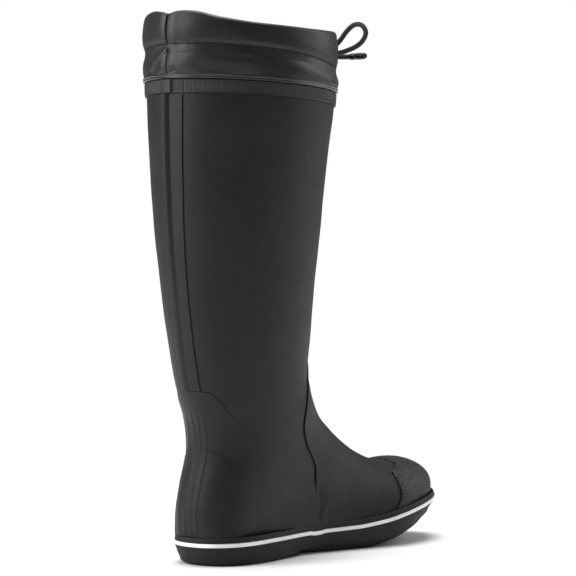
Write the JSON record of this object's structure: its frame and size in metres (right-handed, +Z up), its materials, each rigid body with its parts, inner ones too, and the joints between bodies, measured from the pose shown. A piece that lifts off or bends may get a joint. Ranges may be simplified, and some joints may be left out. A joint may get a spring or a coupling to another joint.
{
  "type": "deck boot",
  "caption": "Tall rubber deck boot for the left foot, with a foxed flat sole, toe cap, back strip, rim piping and a cloth gaiter closed by a drawcord.",
  "frame": {"origin": "on the floor, under the middle of the boot's box, measured without the free bow", "axes": "+Y from the heel to the toe, +Z up the leg, +X to the inner (big toe) side of this left boot"},
  "size_m": [0.1382, 0.308, 0.4238],
  "materials": {
    "upper_rubber": "satin black, finely mottled",
    "knurled_rubber": "satin black with a fine diamond knurl",
    "sole_rubber": "matt black",
    "stripe_rubber": "satin white",
    "piping_rubber": "glossy black",
    "gaiter_cloth": "coated cloth, soft sheen",
    "cord": "braided, matt black",
    "cord_tip": "moulded black",
    "eyelet_metal": "black enamel",
    "lining": "knitted, dark grey",
    "footbed": "brushed cloth over foam",
    "board": "fibre board",
    "stiffener": "matt",
    "sole_foam": "matt sponge"
  },
  "bodies": {
    "boot": {"outsole": "sole_rubber", "heel_lift": "sole_rubber", "sole_filler": "sole_foam", "foxing_lower": "sole_rubber", "foxing_stripe": "stripe_rubber", "foxing_upper": "sole_rubber", "leg_rubber": "upper_rubber", "foot_rubber": "upper_rubber", "toe_stiffener": "stiffener", "heel_stiffener": "stiffener", "leg_lining": "lining", "foot_lining": "lining", "insole_board": "board", "vamp": "upper_rubber", "toe_cap": "knurled_rubber", "heel_counter": "upper_rubber", "heel_patch": "upper_rubber", "back_strip": "upper_rubber", "top_band": "knurled_rubber", "rim_piping": "piping_rubber", "gaiter_panel": "gaiter_cloth", "gaiter_hem": "gaiter_cloth", "eyelet_inner": "eyelet_metal", "eyelet_outer": "eyelet_metal", "drawcord_in_hem": "cord"},
    "footbed": {"footbed": "footbed"},
    "cord_ends": {"cord_a_lead": "cord", "cord_a_loop": "cord", "cord_a_tail": "cord", "cord_tip_a": "cord_tip", "cord_b_lead": "cord", "cord_b_loop": "cord", "cord_b_tail": "cord", "cord_tip_b": "cord_tip", "cord_knot": "cord"}
  },
  "joints": [
    {"name": "footbed_lift", "type": "hinge", "parent": "boot", "child": "footbed", "pos_m": [0, 0.143, 0.036], "axis": [-1, 0, 0], "range_deg": [0, 3]},
    {"name": "drawcord_pull", "type": "slide", "parent": "boot", "child": "cord_ends", "axis": [0, 1, 0], "range_m": [0, 0.02]}
  ]
}
